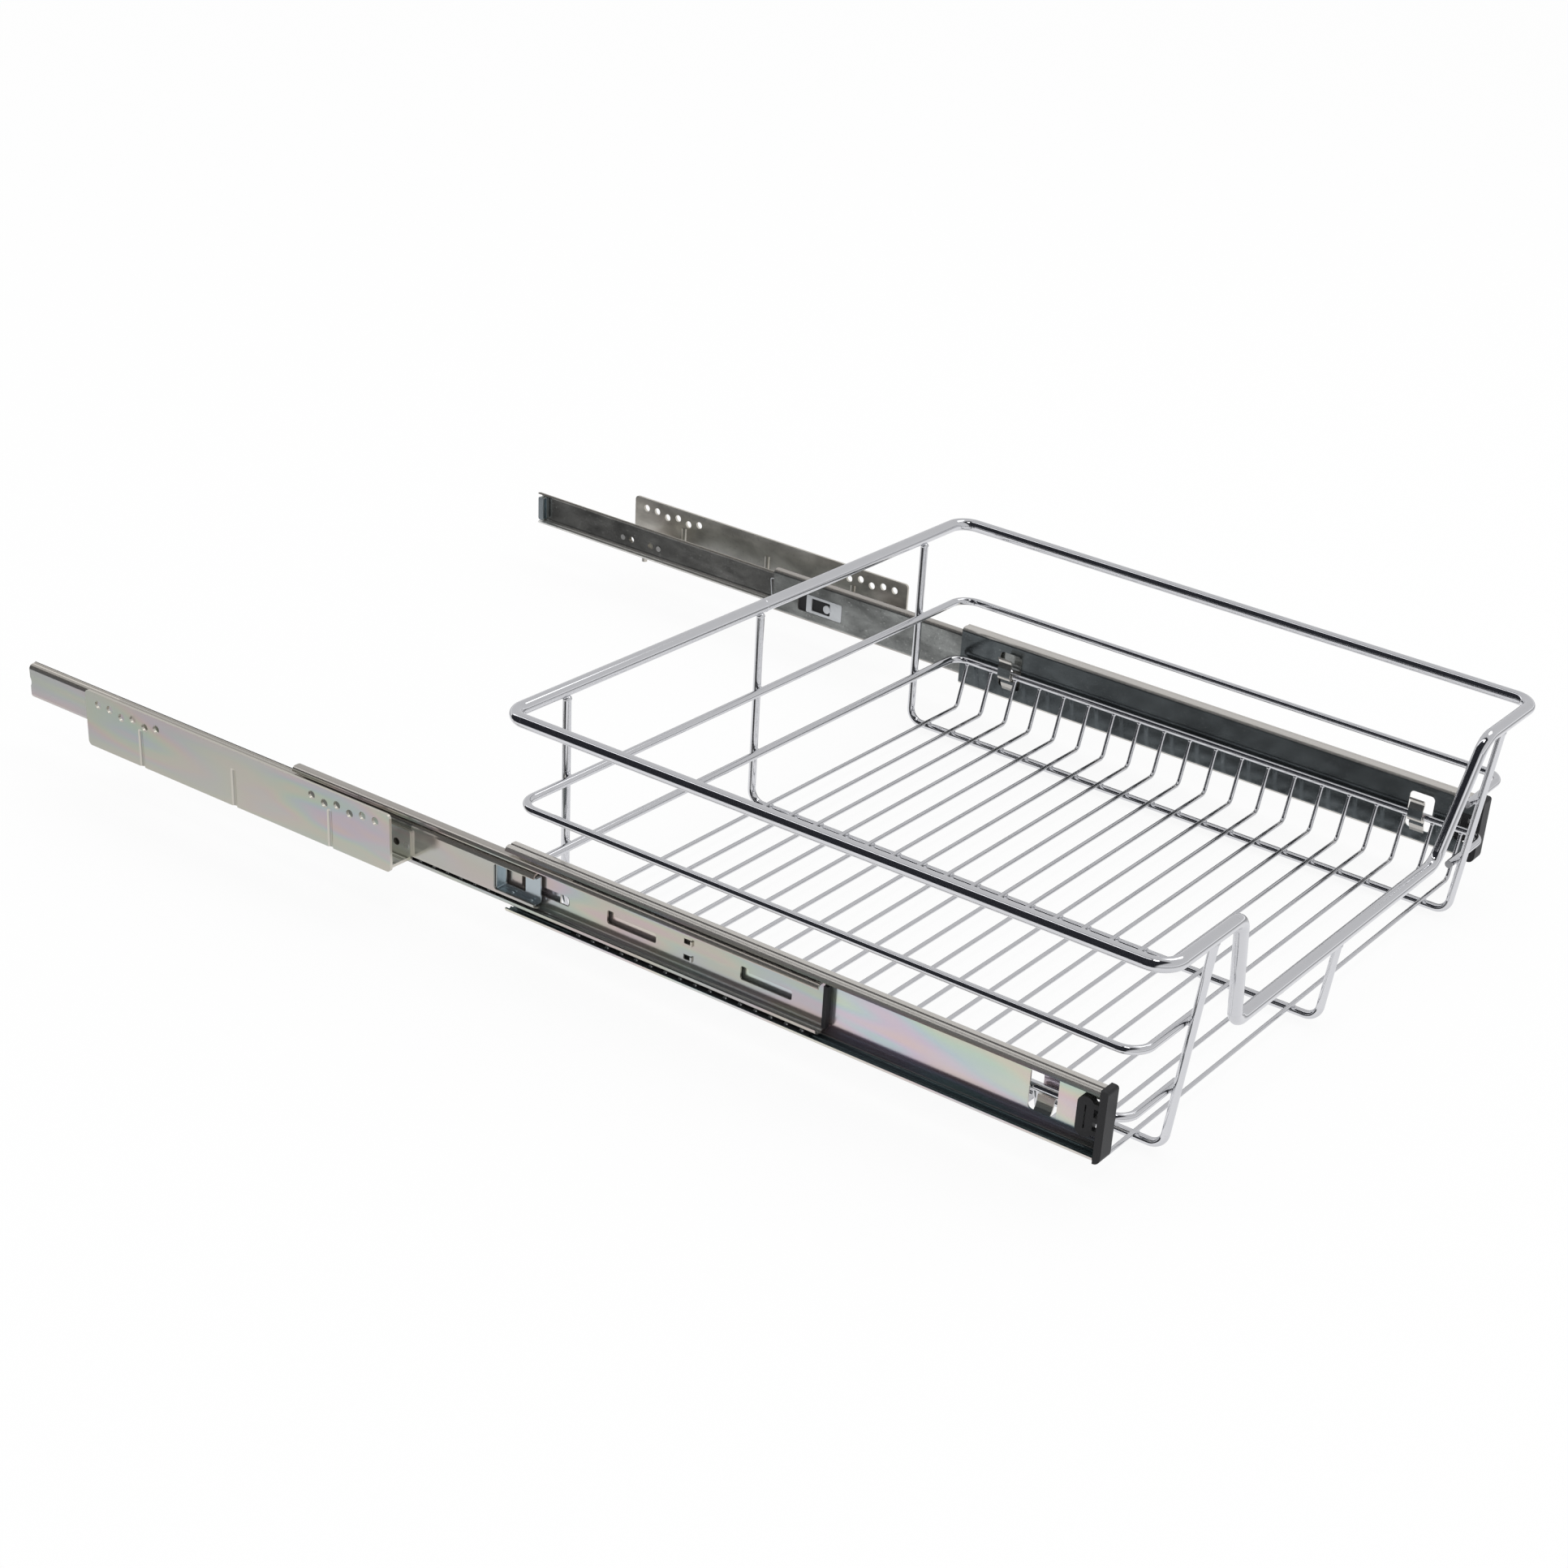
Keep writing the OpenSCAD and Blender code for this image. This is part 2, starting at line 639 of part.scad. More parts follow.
// Middle line of a hook tongue: out of the web, under the lower ring, up behind it, with a flared tip
function tongue_line() =
    let (r = ring_d / 2 + hook_slip + sheet_t / 2, c = [lower_ring_x, 0])
    concat([[drawer_web, -window_low - sheet_t], [drawer_web - sheet_t / 3, -window_low],
            [drawer_web - 1.5 * sheet_t, -window_low + 1.5 * sheet_t],
            [c[0] + 1.2 * sheet_t, -r - 3 * sheet_t]],
           arc(c, r, tongue_turn[0], tongue_turn[1], 10),
           [c + [-r, ring_d], c + [-r + sheet_t, 2 * ring_d - sheet_t], c + [-r, 2 * ring_d + sheet_t],
            c + [-r - 1.5 * sheet_t, 2 * ring_d + 2 * sheet_t]]);

// Drawer rail: the largest rail, its back against the basket, with two hooks that hold the lower ring
module drawer_rail() {
    half = drawer_half();
    hooks = [drawer_rear - rear_window, drawer_front + front_window];
    color(steel) union() {
        difference() {
            along_y(drawer_front, drawer_rear) polygon(ribbon(concat(flip(half), half), sheet_t));
            for (y = hooks)
                slab(drawer_back - overrun, drawer_bore + overrun, y - window_w / 2, y + window_w / 2,
                     -window_low, window_top, window_r);
            slab(drawer_back - overrun, drawer_bore + overrun, drawer_front - 2 * window_r,
                 drawer_front + cap_notch_l, -cap_notch_h / 2, cap_notch_h / 2, window_r);
            for (s = [-1, 1])
                dimple_block(drawer_back - overrun, drawer_back + dimple_depth, s);
        }
        for (y = hooks)
            along_y(y - tongue_w / 2, y + tongue_w / 2) polygon(ribbon(tongue_line(), sheet_t));
        for (s = [-1, 1])
            dimple_block(drawer_back + dimple_depth / 2, drawer_bore + dimple_depth, s);
    }
}

// Half-sheared square near the drawer rail's rear end, above or below its middle
module dimple_block(x0, x1, s) {
    block([x0, drawer_rear - dimple_y - dimple / 2, s * dimple_z - dimple / 2],
          [x1, drawer_rear - dimple_y + dimple / 2, s * dimple_z + dimple / 2]);
}

// Plate of the end cap, its front edge rounded off towards the bottom
module cap_plate(y0, y1, h) {
    x0 = drawer_back - cap_in;
    outline = concat([[y1, h], [y1, -h]],
                     arc([y0 + cap_nose_r, cap_nose_r - h], cap_nose_r, 270, 180, 6),
                     arc([y0 + cap_corner_r, h - cap_corner_r], cap_corner_r, 180, 90, 4));
    translate([x0, 0, 0]) rotate([90, 0, 90])
        linear_extrude(outer_ball_x + outer_race_r - x0) polygon(outline);
}

// End cap: a plate over the drawer rail's front end, with an oblong boss on three arms inside the rail
module end_cap() {
    x0 = drawer_bore + slip;
    x1 = rail_depth() - cage_slip;
    y0 = drawer_front - cap_plate_t;
    y1 = drawer_front + cap_boss[0] + cap_rib_h;
    middle = drawer_front + (cap_boss[0] + cap_boss[1]) / 2;
    h = drawer_rail_h / 2 + cap_over;
    color(black_plastic) difference() {
        union() {
            cap_plate(y0, drawer_front - weld_gap, h);
            slab(x0, x1, drawer_front + cap_boss[0], drawer_front + cap_boss[1],
                 -cap_boss_h / 2, cap_boss_h / 2, cap_boss_r);
            for (z = [-cap_rib_gap, 0, cap_rib_gap])
                block([x0, y0 + cap_plate_t / 2, z - cap_rib_h / 2], [x1, y1, z + cap_rib_h / 2]);
        }
        block([x0 - overrun, middle - cap_slit[0] / 2, -cap_slit[1] / 2],
              [x1 + overrun, middle + cap_slit[0] / 2, cap_slit[1] / 2]);
    }
}

// Rim: closed loop of thick wire, with a lowered middle part in the front
module top_rim() {
    x = rim_x;
    y = rim_front;
    p = [[-x, rim_rear, rim_z], [x, rim_rear, rim_z], [x, y, rim_z], [dip_top_x, y, rim_z],
         [dip_low_x, front_y(dip_z), dip_z], [-dip_low_x, front_y(dip_z), dip_z],
         [-dip_top_x, y, rim_z], [-x, y, rim_z]];
    r = concat([for (k = [1:3]) corner_r], [for (k = [1:4]) dip_bend_r], [corner_r]);
    color(chrome_grey) wire(p, r, rim_d, closed = true);
}

// Ring: open at the front, its ends on the inner sides of the two outer front wires
module ring(x, z, r) {
    y = front_y(z) + ring_d + weld_gap;
    e = frame_x - ring_past;
    p = [[-e, y, z], [-x, y, z], [-x, ring_rear, z], [x, ring_rear, z], [x, y, z], [e, y, z]];
    color(chrome_grey) wire(p, [0, r, r, r, r, 0], ring_d);
}

module middle_ring() {
    ring(middle_ring_x, middle_ring_z, corner_r);
}

module lower_ring() {
    ring(lower_ring_x, 0, low_corner_r);
}

// Floor frame: rear upright, bottom and front upright of one bent wire, its front end under z_top
module frame(x, z_top, front_d) {
    top = z_top - front_d / 2 - weld_gap;
    rear_top = rim_z - rim_d / 2 - weld_gap;
    p = [[x, upright_y, rear_top], [x, upright_y, -floor_drop],
         [x, front_foot, -floor_drop], [x, front_y(top), top]];
    color(chrome_grey) wire(p, [0, frame_bend_r, frame_bend_r, 0], ring_d);
}

// Floor wire: straight across the frames, its ends bent up to the lower ring
module floor_wire(k) {
    y = floor_rear - (k - 1) * floor_pitch;
    top = [lower_ring_x, y, 0];
    low = [floor_bend_x, y, floor_z];
    tip = top - unit(top - low) * (ring_d / 2 + weld_gap);
    p = [[-tip[0], y, tip[2]], [-low[0], y, low[2]], low, tip];
    color(chrome_grey) wire(p, [0, floor_bend_r, floor_bend_r, 0], floor_d);
}

left_side() bracket();  // left_bracket
placed() bracket();  // right_bracket
left_side() bracket_rivets();  // left_bracket_rivets
placed() bracket_rivets();  // right_bracket_rivets
left_side() cabinet_rail();  // left_cabinet_rail
placed() cabinet_rail();  // right_cabinet_rail
left_side() front_stop();  // left_front_stop
placed() front_stop();  // right_front_stop
left_side() rear_stop();  // left_rear_stop
placed() rear_stop();  // right_rear_stop
left_side() inner_cage();  // left_inner_cage
placed() inner_cage();  // right_inner_cage
left_side() inner_balls();  // left_inner_balls
placed() inner_balls();  // right_inner_balls
left_side() middle_rail();  // left_middle_rail
placed() middle_rail();  // right_middle_rail
left_side() middle_bumper();  // left_middle_bumper
placed() middle_bumper();  // right_middle_bumper
left_side() latch_block();  // left_latch_block
placed() latch_block();  // right_latch_block
left_side() latch_plate();  // left_latch_plate
placed() latch_plate();  // right_latch_plate
left_side() latch_spring();  // left_latch_spring
placed() latch_spring();  // right_latch_spring
left_side() outer_cage();  // left_outer_cage
placed() outer_cage();  // right_outer_cage
left_side() outer_balls();  // left_outer_balls
placed() outer_balls();  // right_outer_balls
left_side() drawer_rail();  // left_drawer_rail
placed() drawer_rail();  // right_drawer_rail
left_side() end_cap();  // left_end_cap
placed() end_cap();  // right_end_cap
placed() top_rim();
placed() middle_ring();
placed() lower_ring();
placed() frame(-frame_x, rim_z, rim_d);  // left_frame
placed() frame(0, dip_z, rim_d);  // centre_frame
placed() frame(frame_x, rim_z, rim_d);  // right_frame
for (k = [1:floor_count])
    placed() floor_wire(k);
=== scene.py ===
import math
import bmesh
import bpy
from mathutils import Matrix, Vector


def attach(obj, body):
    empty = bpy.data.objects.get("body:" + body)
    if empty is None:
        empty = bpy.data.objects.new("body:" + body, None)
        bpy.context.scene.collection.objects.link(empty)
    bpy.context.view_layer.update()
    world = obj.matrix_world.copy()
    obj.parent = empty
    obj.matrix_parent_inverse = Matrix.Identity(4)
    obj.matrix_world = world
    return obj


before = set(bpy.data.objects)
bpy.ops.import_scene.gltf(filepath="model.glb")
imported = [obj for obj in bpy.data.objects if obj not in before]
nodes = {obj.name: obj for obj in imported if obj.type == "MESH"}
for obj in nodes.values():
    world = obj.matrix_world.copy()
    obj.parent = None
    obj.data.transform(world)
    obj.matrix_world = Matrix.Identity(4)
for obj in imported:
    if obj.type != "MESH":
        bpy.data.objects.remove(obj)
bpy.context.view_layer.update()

# The camera stands on the left in front of the basket and looks down on it. The photo is a part of a larger
# frame, so the lens is shifted, and the picture keeps plain display colours.
camera_data = bpy.data.cameras.new("studio_camera")
camera_data.sensor_width = 36
camera_data.lens = 61.27
camera_data.shift_x = -0.16253
camera_data.shift_y = 0.16566
camera_data.clip_end = 60
camera = bpy.data.objects.new("studio_camera", camera_data)
bpy.context.scene.collection.objects.link(camera)
camera.matrix_world = Matrix((
    (0.53155, 0.38234, -0.75582, -1.365),
    (-0.84104, 0.34415, -0.41739, -0.9815),
    (0.10053, 0.85754, 0.5045, 0.81675),
    (0, 0, 0, 1)))
bpy.context.scene.camera = camera
bpy.context.scene.view_settings.view_transform = "Standard"

# The floor is a wide sheet of matt white paper just under the basket. It takes the basket's soft shadow, and
# a share of plain white keeps it pale to the camera. The chrome doesn't mirror it.
FLOOR_HALF = 20
FLOOR_Z = -0.003
FLOOR_GREY = 0.9
FLOOR_ROUGHNESS = 0.95
FLOOR_WHITE_SHARE = 0.88


def lay_floor(half, z):
    mesh = bpy.data.meshes.new("studio_floor")
    corners = [(-half, -half, z), (half, -half, z), (half, half, z), (-half, half, z)]
    mesh.from_pydata(corners, [], [(0, 1, 2, 3)])
    paper = bpy.data.materials.new("floor_paper")
    paper.use_nodes = True
    tree = paper.node_tree
    out = tree.nodes["Material Output"]
    matt = tree.nodes["Principled BSDF"]
    matt.inputs["Base Color"].default_value = (FLOOR_GREY, FLOOR_GREY, FLOOR_GREY, 1)
    matt.inputs["Roughness"].default_value = FLOOR_ROUGHNESS
    glow = tree.nodes.new("ShaderNodeEmission")
    glow.inputs["Color"].default_value = (1, 1, 1, 1)
    seen = tree.nodes.new("ShaderNodeLightPath")
    share = tree.nodes.new("ShaderNodeMath")
    share.operation = "MULTIPLY"
    share.inputs[1].default_value = FLOOR_WHITE_SHARE
    tree.links.new(seen.outputs["Is Camera Ray"], share.inputs[0])
    mix = tree.nodes.new("ShaderNodeMixShader")
    tree.links.new(share.outputs[0], mix.inputs[0])
    tree.links.new(matt.outputs[0], mix.inputs[1])
    tree.links.new(glow.outputs[0], mix.inputs[2])
    tree.links.new(mix.outputs[0], out.inputs["Surface"])
    mesh.materials.append(paper)
    floor = bpy.data.objects.new("studio_floor", mesh)
    bpy.context.scene.collection.objects.link(floor)
    floor.visible_glossy = False


lay_floor(FLOOR_HALF, FLOOR_Z)

# The surround is white to everything but polished metal, which mirrors a grey room. A black flag stands on
# the left and draws the dark cores on the chrome wires, and a tube light over it draws a pale streak.
# Every pair below is a start and an end on a direction's x, y or z, from -1 to 1.
ROOM_GREYS = ((0.0, 0.74), (0.3, 0.84), (0.42, 0.34), (0.47, 0.4), (0.485, 0.95), (0.52, 0.95),
              (0.54, 0.6), (1.0, 0.56))
FLAG_EDGE = (-0.02, -0.1)
FLAG_LOWER_EDGE = (-0.272, -0.252)
FLAG_LOWER_SLOPE = -0.2
FLAG_FRONT_EDGE = (-0.5, -0.3)
FLAG_FRONT_SLOPE = 0.3
FLAG_BLACK = (0.02, 0.021, 0.026, 1)
FOOT_TOP = (-0.29, -0.33)
FOOT_RUN = (0.25, 0.7)
FOOT_GREYS = ((0.0, 0.02), (0.25, 0.03), (0.42, 0.08), (0.53, 1.15), (0.62, 0.24), (0.75, 0.2), (1.0, 0.1))
TUBE_SLOPE = 0.28
TUBE_WIDTH = (0.1, 0.06)
TUBE_FOOT = (0.25, 0.3)
TUBE_FRONT = (0.1, 0.2)
TUBE_LIGHT = (1.3, 1.3, 1.33, 1)
COOL_TINT = 1.02


def build_surround():
    world = bpy.data.worlds.new("studio_surround")
    bpy.context.scene.world = world
    world.use_nodes = True
    tree = world.node_tree
    back = tree.nodes["Background"]
    where = tree.nodes.new("ShaderNodeTexCoord")
    split = tree.nodes.new("ShaderNodeSeparateXYZ")
    tree.links.new(where.outputs["Generated"], split.inputs[0])
    x, y, z = split.outputs

    def band(source, span):
        step = tree.nodes.new("ShaderNodeMapRange")
        step.interpolation_type = "SMOOTHSTEP"
        step.inputs["From Min"].default_value, step.inputs["From Max"].default_value = span
        tree.links.new(source, step.inputs["Value"])
        return step.outputs["Result"]

    def leaned(source, slope, other):
        lean = tree.nodes.new("ShaderNodeMath")
        lean.operation = "MULTIPLY_ADD"
        lean.inputs[1].default_value = slope
        tree.links.new(source, lean.inputs[0])
        tree.links.new(other, lean.inputs[2])
        return lean.outputs[0]

    def both(one, other):
        product = tree.nodes.new("ShaderNodeMath")
        product.operation = "MULTIPLY"
        tree.links.new(one, product.inputs[0])
        tree.links.new(other, product.inputs[1])
        return product.outputs[0]

    def greys(source, run, stops):
        span = tree.nodes.new("ShaderNodeMapRange")
        span.inputs["From Min"].default_value, span.inputs["From Max"].default_value = run
        tree.links.new(source, span.inputs["Value"])
        sweep = tree.nodes.new("ShaderNodeValToRGB")
        ramp = sweep.color_ramp
        while len(ramp.elements) < len(stops):
            ramp.elements.new(0.5)
        for element, (place, grey) in zip(ramp.elements, stops):
            element.position = place
            element.color = (grey, grey, grey * COOL_TINT, 1)
        tree.links.new(span.outputs["Result"], sweep.inputs[0])
        return sweep.outputs[0]

    def mixed(share, one, other):
        mix = tree.nodes.new("ShaderNodeMix")
        mix.data_type = "RGBA"
        for socket, value in ((mix.inputs[0], share), (mix.inputs[6], one), (mix.inputs[7], other)):
            if isinstance(value, tuple):
                socket.default_value = value
            else:
                tree.links.new(value, socket)
        return mix.outputs[2]

    open_room = greys(z, (-1, 1), ROOM_GREYS)
    flag = both(band(x, FLAG_EDGE), band(leaned(x, FLAG_LOWER_SLOPE, z), FLAG_LOWER_EDGE))
    flag = both(flag, band(leaned(z, FLAG_FRONT_SLOPE, y), FLAG_FRONT_EDGE))
    # the flag's foot catches some light from the room behind it
    foot = greys(y, FOOT_RUN, FOOT_GREYS)
    flag_tone = mixed(band(z, FOOT_TOP), FLAG_BLACK, foot)
    room = mixed(flag, open_room, flag_tone)
    off_tube = tree.nodes.new("ShaderNodeMath")
    off_tube.operation = "ABSOLUTE"
    tree.links.new(leaned(z, TUBE_SLOPE, x), off_tube.inputs[0])
    tube = both(both(band(off_tube.outputs[0], TUBE_WIDTH), band(z, TUBE_FOOT)), band(y, TUBE_FRONT))
    room = mixed(tube, room, TUBE_LIGHT)
    rays = tree.nodes.new("ShaderNodeLightPath")
    tree.links.new(mixed(rays.outputs["Is Glossy Ray"], (1, 1, 1, 1), room), back.inputs["Color"])


build_surround()


# Two soft boxes hang over the basket, a large one on the right and a small one nearer the front. They lay the
# soft shadow on the floor and a quiet sheen on the rails.
def hang_softbox(name, place, target, width, depth, watts):
    lamp = bpy.data.lights.new(name, "AREA")
    lamp.shape = "RECTANGLE"
    lamp.size = width
    lamp.size_y = depth
    lamp.energy = watts
    box = bpy.data.objects.new(name, lamp)
    bpy.context.scene.collection.objects.link(box)
    box.location = place
    box.rotation_euler = (Vector(target) - Vector(place)).to_track_quat("-Z", "Y").to_euler()


hang_softbox("soft_box_above_right", place=(1.4, -0.6, 2.6), target=(0, 0, 0.05), width=1.2, depth=1.2, watts=6)
hang_softbox("small_box_above_front", place=(-0.8, -0.5, 2.5), target=(0, -0.3, 0.05), width=0.5, depth=0.5,
             watts=3.5)

# Mounting brackets carry each runner on the cabinet's side panel. They are 2 mm steel plate, pressed with
# ribs and two feet and then zinc-plated. The passivated zinc is a warm grey with thin-film clouds of pink,
# straw, green and blue, drawn out along the rolling direction, and the rails share it.
SIDES = ("left", "right")
ROLLED_LINES = (500, 10, 1500)
FILM_CLOUDS = (9, 5, 30)
FILM_PATCHES = (7, 6, 24)
MOTTLED_SPOTS = (46, 30, 60)
GREASE_AND_SHADE_STREAKS = (700, 3, 700)
DARK_SPECKS = (420, 420, 420)
PALE_SPECKS = (700, 500, 700)
FACES_BASKET = (-0.985, -0.9)
FACES_PANEL = (0.85, 0.97)
FACES_UP = (0.2, 0.75)
LOW_HALF_Z = (0.034, 0.03)
WEB_FOOT_Z = (0.0295, 0.0285)
DRAWER_WEB_X = 0.2535
FILM_CYCLES = 5.2
FILM_HUES = ((0.0, (0.7, 0.68, 0.5)), (0.2, (0.78, 0.54, 0.56)), (0.4, (0.66, 0.53, 0.72)),
             (0.6, (0.46, 0.63, 0.72)), (0.8, (0.5, 0.72, 0.56)), (1.0, (0.7, 0.68, 0.5)))
DARK_SPECK_TONE = (0.62, 0.63, 0.64, 1)
PALE_SPECK_TONE = (0.75, 0.76, 0.74, 1)
PALE_SPECK_SHARE = 0.5
LINE_RELIEF = 0.05
LINE_DEPTH = 0.00001


def zinc_film_group():
    group = bpy.data.node_groups.new("zinc_film", "ShaderNodeTree")
    face = group.interface
    face.new_socket("Film", in_out="INPUT", socket_type="NodeSocketFloat").default_value = 0.3
    face.new_socket("Wear", in_out="INPUT", socket_type="NodeSocketFloat").default_value = 0.5
    face.new_socket("Satin", in_out="INPUT", socket_type="NodeSocketFloat").default_value = 0.28
    for tone, start in (("Bright", (0.7, 0.69, 0.66, 1)), ("PaintedShade", (0.45, 0.47, 0.46, 1)),
                        ("Channel", (0.3, 0.32, 0.32, 1))):
        face.new_socket(tone, in_out="INPUT", socket_type="NodeSocketColor").default_value = start
    face.new_socket("Colour", in_out="OUTPUT", socket_type="NodeSocketColor")
    face.new_socket("Roughness", in_out="OUTPUT", socket_type="NodeSocketFloat")
    face.new_socket("Height", in_out="OUTPUT", socket_type="NodeSocketFloat")
    n, link = group.nodes, group.links
    taken = n.new("NodeGroupInput")
    given = n.new("NodeGroupOutput")
    place = n.new("ShaderNodeTexCoord")

    def noise(scale, detail, distortion=0.0):
        bend = n.new("ShaderNodeMapping")
        bend.inputs["Scale"].default_value = scale
        link.new(place.outputs["Object"], bend.inputs["Vector"])
        grain = n.new("ShaderNodeTexNoise")
        grain.inputs["Scale"].default_value = 1
        grain.inputs["Detail"].default_value = detail
        grain.inputs["Distortion"].default_value = distortion
        link.new(bend.outputs[0], grain.inputs["Vector"])
        return grain.outputs["Fac"]

    def ranged(value, span, to=(0.0, 1.0)):
        step = n.new("ShaderNodeMapRange")
        step.inputs["From Min"].default_value, step.inputs["From Max"].default_value = span
        step.inputs["To Min"].default_value, step.inputs["To Max"].default_value = to
        link.new(value, step.inputs["Value"])
        return step.outputs["Result"]

    def maths(operation, a, b):
        result = n.new("ShaderNodeMath")
        result.operation = operation
        for socket, value in zip(result.inputs, (a, b)):
            if isinstance(value, (int, float)):
                socket.default_value = value
            else:
                link.new(value, socket)
        return result.outputs[0]

    def scaled(colour, factor):
        product = n.new("ShaderNodeVectorMath")
        product.operation = "SCALE"
        link.new(colour, product.inputs[0])
        link.new(factor, product.inputs["Scale"])
        return product.outputs[0]

    def blend(share, a, b, mode="MIX"):
        mix = n.new("ShaderNodeMix")
        mix.data_type = "RGBA"
        mix.blend_type = mode
        for socket, value in ((mix.inputs[0], share), (mix.inputs[6], a), (mix.inputs[7], b)):
            if isinstance(value, tuple):
                socket.default_value = value
            else:
                link.new(value, socket)
        return mix.outputs[2]

    # painted light and shade: faces towards the cabinet's panel get a painted lit tone, faces towards the
    # basket a painted shaded tone of the same zinc
    shape = n.new("ShaderNodeNewGeometry")
    normal = n.new("ShaderNodeSeparateXYZ")
    link.new(shape.outputs["Normal"], normal.inputs[0])
    spot = n.new("ShaderNodeSeparateXYZ")
    link.new(shape.outputs["Position"], spot.inputs[0])
    outward = maths("MULTIPLY", normal.outputs["X"], maths("SIGN", spot.outputs["X"], 0))
    turned = ranged(outward, FACES_BASKET)
    ground = blend(turned, taken.outputs["PaintedShade"], taken.outputs["Bright"])
    # the rails' lower channel and the foot of the drawer rail's web get a dark streaked tone, partly grease
    # along the ball track and partly painted shade where the rails close over them
    low_half = ranged(spot.outputs["Z"], LOW_HALF_Z)
    floor_of = maths("MULTIPLY", ranged(normal.outputs["Z"], FACES_UP), low_half)
    web_foot = maths("MULTIPLY", ranged(spot.outputs["Z"], WEB_FOOT_Z),
                     maths("LESS_THAN", maths("ABSOLUTE", spot.outputs["X"], 0), DRAWER_WEB_X))
    channel = maths("MAXIMUM", floor_of, maths("MULTIPLY", web_foot, ranged(outward, FACES_PANEL)))
    grease_and_shade = scaled(taken.outputs["Channel"], ranged(noise(GREASE_AND_SHADE_STREAKS, 2), (0.35, 0.65), (0.45, 2.2)))
    ground = blend(channel, ground, grease_and_shade)
    # the shaded side is mottled
    mottle = ranged(noise(MOTTLED_SPOTS, 6, 0.4), (0.34, 0.66), (0.5, 1.65))
    shaded_share = maths("MULTIPLY", maths("SUBTRACT", 1, turned), taken.outputs["Wear"])
    ground = blend(shaded_share, ground, scaled(ground, mottle))
    # interference colours run through a cycle as the film gets thicker
    thickness = maths("MULTIPLY", noise(FILM_CLOUDS, 2, 0.35), FILM_CYCLES)
    film = n.new("ShaderNodeValToRGB")
    ramp = film.color_ramp
    while len(ramp.elements) < len(FILM_HUES):
        ramp.elements.new(0.5)
    for element, (at, hue) in zip(ramp.elements, FILM_HUES):
        element.position = at
        element.color = (*hue, 1)
    link.new(maths("FRACT", thickness, 0), film.inputs[0])
    patches = ranged(noise(FILM_PATCHES, 2), (0.4, 0.62), (0.25, 1))
    flat = ranged(outward, FACES_PANEL)
    amount = maths("MULTIPLY", maths("MULTIPLY", taken.outputs["Film"], patches), flat)
    tinted = blend(amount, ground, film.outputs[0])
    # small specks, dark and pale, are left by rolling and handling
    dark = maths("MULTIPLY", ranged(noise(DARK_SPECKS, 4), (0.6, 0.74)), shaded_share)
    tinted = blend(dark, tinted, DARK_SPECK_TONE, "MULTIPLY")
    pale = maths("MULTIPLY", ranged(noise(PALE_SPECKS, 2, 0.3), (0.64, 0.74)), shaded_share)
    tinted = blend(maths("MULTIPLY", pale, PALE_SPECK_SHARE), tinted, PALE_SPECK_TONE)
    link.new(tinted, given.inputs["Colour"])
    # fine lines along the sheet roughen it and stand out a little
    lines = noise(ROLLED_LINES, 3)
    rough = maths("ADD", taken.outputs["Satin"], ranged(lines, (0.3, 0.7), (-0.01, 0.02)))
    link.new(rough, given.inputs["Roughness"])
    link.new(lines, given.inputs["Height"])
    return group


ZINC_FILM = zinc_film_group()


# bright and shaded are painted lit and painted shaded tones of one zinc; the coat picks between them by which
# way a face turns
def zinc_steel(name, bright, shaded, film, wear, satin, channel=(0.3, 0.32, 0.32), metallic=0.93):
    sheet = bpy.data.materials.new(name)
    sheet.use_nodes = True
    n, link = sheet.node_tree.nodes, sheet.node_tree.links
    metal = n["Principled BSDF"]
    metal.inputs["Metallic"].default_value = metallic
    coat = n.new("ShaderNodeGroup")
    coat.name = "coat"
    coat.node_tree = ZINC_FILM
    coat.inputs["Film"].default_value = film
    coat.inputs["Wear"].default_value = wear
    coat.inputs["Satin"].default_value = satin
    coat.inputs["Bright"].default_value = (*bright, 1)
    coat.inputs["PaintedShade"].default_value = (*shaded, 1)
    coat.inputs["Channel"].default_value = (*channel, 1)
    link.new(coat.outputs["Colour"], metal.inputs["Base Color"])
    link.new(coat.outputs["Roughness"], metal.inputs["Roughness"])
    relief = n.new("ShaderNodeBump")
    relief.inputs["Strength"].default_value = LINE_RELIEF
    relief.inputs["Distance"].default_value = LINE_DEPTH
    link.new(coat.outputs["Height"], relief.inputs["Height"])
    link.new(relief.outputs[0], metal.inputs["Normal"])
    return sheet


def dress(node, material):
    mesh = nodes[node].data
    mesh.materials.clear()
    mesh.materials.append(material)


bracket_zinc = zinc_steel("bracket_zinc", bright=(0.73, 0.7, 0.62), shaded=(0.74, 0.73, 0.69),
                          channel=(0.6, 0.6, 0.56), film=0.5, wear=0.5, satin=0.3)
for side in SIDES:
    dress(f"{side}_bracket", bracket_zinc)

# Four rivets fasten the two feet of each bracket to its cabinet rail. They are plain bright steel, and the
# press sets their heads flat.
rivet_steel = zinc_steel("rivet_steel", bright=(0.7, 0.7, 0.68), shaded=(0.7, 0.7, 0.68),
                         channel=(0.6, 0.6, 0.6), film=0.05, wear=0.6, satin=0.22)
for side in SIDES:
    dress(f"{side}_bracket_rivets", rivet_steel)

# Cabinet rails are the smallest rails, rolled from zinc-plated strip. They take a painted lit tone on the back
# and a painted shade inside the channel, and a painted shadow on the stretch of their back that the bracket
# covers.
cabinet_zinc = zinc_steel("cabinet_rail_zinc", bright=(0.54, 0.51, 0.46), shaded=(0.2, 0.2, 0.19),
                          channel=(0.5, 0.5, 0.48), film=0.25, wear=0.8, satin=0.16, metallic=0.86)
COVER_FRONT_Y = 0.092
COVER_REAR_Y = 0.357
BRACKET_SHADOW_TONE = (0.16, 0.17, 0.16, 1)
BRACKET_SHADOW_SHARE = 0.8


